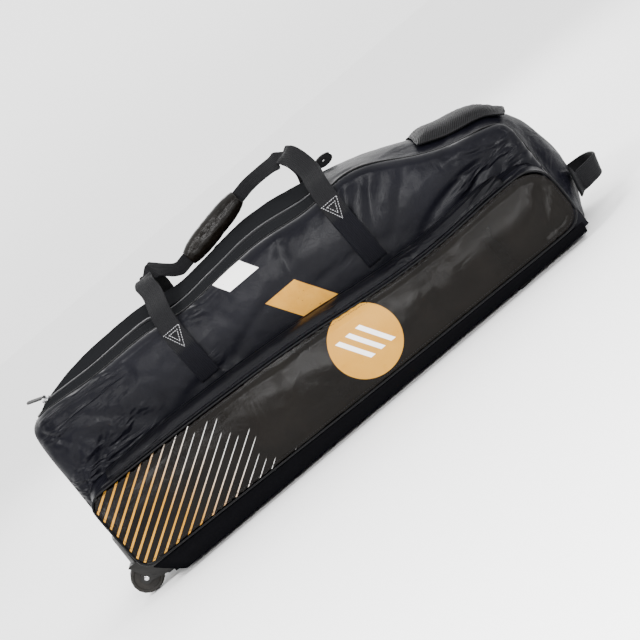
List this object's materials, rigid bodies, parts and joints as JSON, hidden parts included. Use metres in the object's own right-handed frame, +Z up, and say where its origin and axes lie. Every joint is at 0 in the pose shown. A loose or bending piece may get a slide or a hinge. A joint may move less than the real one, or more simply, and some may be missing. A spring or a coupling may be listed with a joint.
{
  "type": "wheeled cricket kit bag",
  "caption": "Long soft holdall on wheels for cricket kit, with a sloping nose, a full-length front pocket, webbing carry straps with a wrapped grip and an end handle.",
  "frame": {"origin": "middle of the bag's box at the floor it stands on", "axes": "+X along the bag from the wheels to the nose, -Y towards the front pocket, +Z up"},
  "size_m": [1.0476, 0.3566, 0.4195],
  "materials": {
    "satin": "satin polyester with a soft sheen",
    "woven": "coarse matt weave",
    "binding": "edge binding and zip tape",
    "coated": "glossy coated cloth with a fine grain",
    "plastic": "moulded, fine texture",
    "rubber": "matt, lightly worn",
    "steel": "bright, lightly worn",
    "mesh": "ribbed cloth with a gloss",
    "webbing": "matt woven webbing"
  },
  "bodies": {
    "root": {"front_panel": "satin", "back_panel": "satin", "wheel_end_panel": "satin", "nose_panel": "satin", "pocket_gusset": "satin", "pocket_flap": "satin", "top_border": "woven", "lid": "woven", "base_tray": "woven", "main_zip": "binding", "piping_front": "binding", "piping_back": "binding", "pocket_piping": "binding", "pocket_zip": "binding", "pocket_face": "coated", "grip_wrap": "coated", "wheel_base": "plastic", "foot_front": "plastic", "foot_back": "plastic", "axle_front": "steel", "axle_back": "steel", "zip_slider": "steel", "end_pocket": "mesh", "carry_strap_front": "webbing", "carry_strap_back": "webbing", "grab_handle": "webbing", "strap_roll": "webbing"},
    "wheel_front": {"wheel_front": "rubber"},
    "wheel_back": {"wheel_back": "rubber"},
    "zip_pull": {"zip_pull": "steel"}
  },
  "joints": [
    {"name": "wheel_front_spin", "type": "hinge", "parent": "root", "child": "wheel_front", "pos_m": [-0.49482, -0.08746, 0.029], "axis": [0, 1, 0], "continuous": true},
    {"name": "wheel_back_spin", "type": "hinge", "parent": "root", "child": "wheel_back", "pos_m": [-0.49482, 0.13654, 0.029], "axis": [0, 1, 0], "continuous": true},
    {"name": "zip_pull_swing", "type": "hinge", "parent": "root", "child": "zip_pull", "pos_m": [-0.43062, -0.07146, 0.36034], "axis": [0.4726, 0.8185, 0.3267], "range_deg": [0, 120]}
  ]
}
